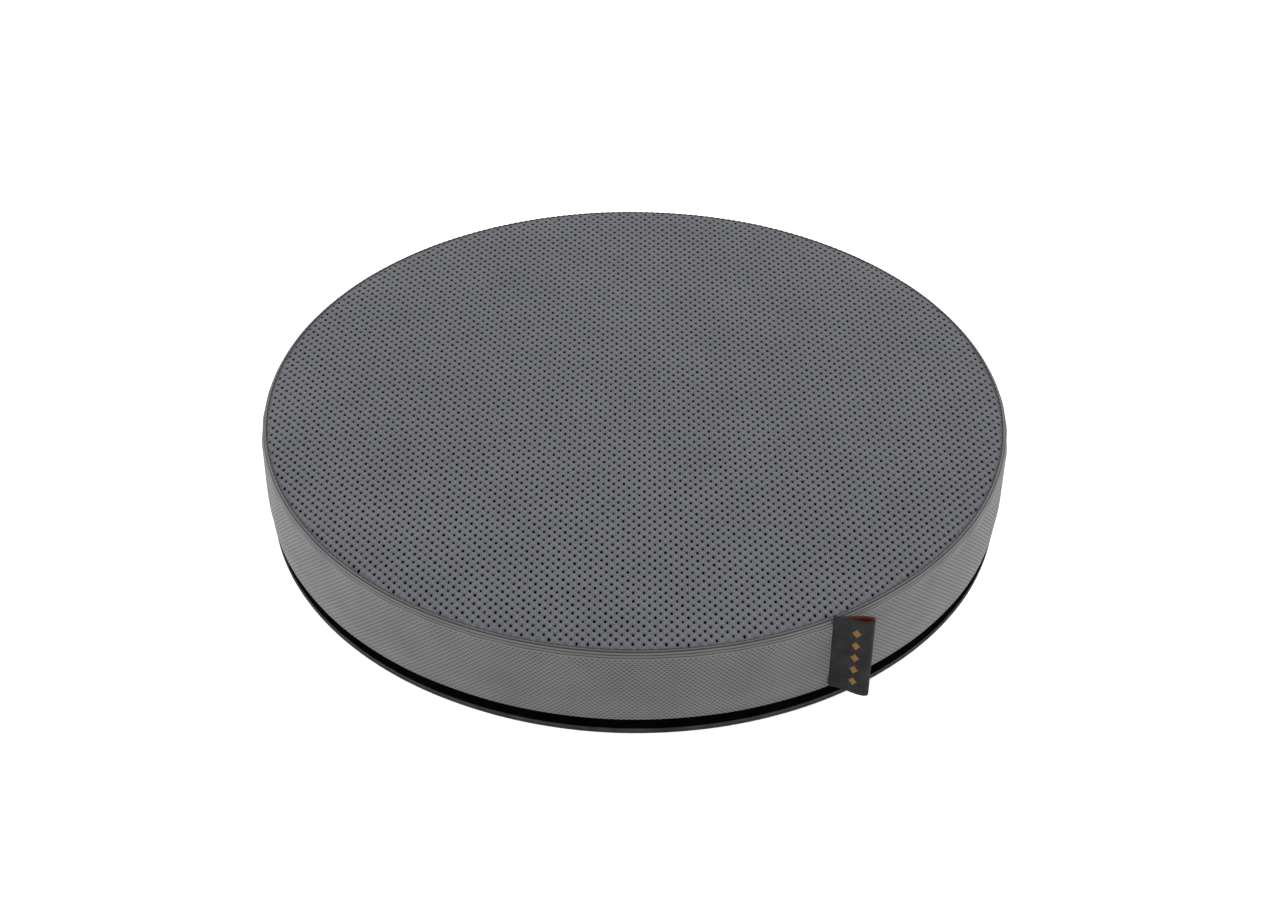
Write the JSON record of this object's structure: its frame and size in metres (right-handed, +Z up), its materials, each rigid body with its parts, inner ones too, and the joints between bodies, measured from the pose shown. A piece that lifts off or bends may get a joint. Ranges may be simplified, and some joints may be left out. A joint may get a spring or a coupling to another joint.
{
  "type": "wobble cushion",
  "caption": "Round flat wobble cushion: zipped fabric cover with perforated seat, foam pads and a sprung air cell that tilts and sinks under a sitter.",
  "frame": {"origin": "centre of the underside, on the floor", "axes": "+Z up through the middle of the seat, -Y to the front, +X to the right of someone facing the front"},
  "size_m": [0.36, 0.36, 0.0495],
  "materials": {
    "grip_fabric": "matte",
    "hem": "matte",
    "black_tape": "matte",
    "zip_coil": "satin",
    "zip_metal": "satin",
    "band_fabric": "matte",
    "mesh_fabric": "matte",
    "thread": "matte",
    "liner_fabric": "matte",
    "label_fabric": "satin",
    "soft_foam": "matte",
    "firm_foam": "matte",
    "cell_sheet": "satin",
    "valve_rubber": "satin",
    "plug_plastic": "satin"
  },
  "bodies": {
    "base": {"bottom_panel": "grip_fabric", "hem_binding": "hem", "front_strip": "black_tape", "zip_tape_lower": "black_tape", "zip_tape_upper": "black_tape", "zip_coil_lower": "zip_coil", "zip_coil_upper": "zip_coil", "zip_end_stops": "zip_metal", "base_pad": "firm_foam", "side_band": "band_fabric", "edge_foam": "soft_foam"},
    "air_cell": {"cell_lower_sheet": "cell_sheet", "valve_body": "valve_rubber"},
    "cell_top": {"cell_upper_sheet": "cell_sheet"},
    "seat": {"comfort_pad": "soft_foam", "liner": "liner_fabric", "mesh_top": "mesh_fabric", "top_seam": "thread"},
    "slider": {"zip_slider": "zip_metal"},
    "pull": {"zip_pull": "zip_metal"},
    "label": {"label": "label_fabric"},
    "plug": {"valve_plug": "plug_plastic"}
  },
  "joints": [
    {"name": "seat_sink", "type": "slide", "parent": "base", "child": "air_cell", "axis": [0, 0, -1], "range_m": [0, 0.005], "stiffness_N_per_m": 40000, "deforming": ["side_band", "edge_foam", "cell_lower_sheet"]},
    {"name": "tilt_front_back", "type": "hinge", "parent": "air_cell", "child": "cell_top", "pos_m": [0, 0, 0.0229], "axis": [1, 0, 0], "range_deg": [-2.5, 2.5], "stiffness_Nm_per_rad": 40, "deforming": ["cell_upper_sheet"]},
    {"name": "tilt_side_to_side", "type": "hinge", "parent": "cell_top", "child": "seat", "pos_m": [0, 0, 0.0229], "axis": [0, 1, 0], "range_deg": [-2.5, 2.5], "stiffness_Nm_per_rad": 40},
    {"name": "zip_travel", "type": "hinge", "parent": "base", "child": "slider", "pos_m": [0, 0, 0.0064], "axis": [0, 0, -1], "range_deg": [0, 148]},
    {"name": "pull_flip", "type": "hinge", "parent": "slider", "child": "pull", "pos_m": [-0.17351, 0.04975, 0.0064], "axis": [0, 0, 1], "range_deg": [0, 160]},
    {"name": "label_flap", "type": "hinge", "parent": "base", "child": "label", "pos_m": [0.08636, -0.15907, 0.029], "axis": [0, 0, -1], "range_deg": [-20, 100], "stiffness_Nm_per_rad": 0.0004},
    {"name": "plug_pull", "type": "slide", "parent": "air_cell", "child": "plug", "axis": [0, 1, 0], "range_m": [0, 0.0095]}
  ]
}
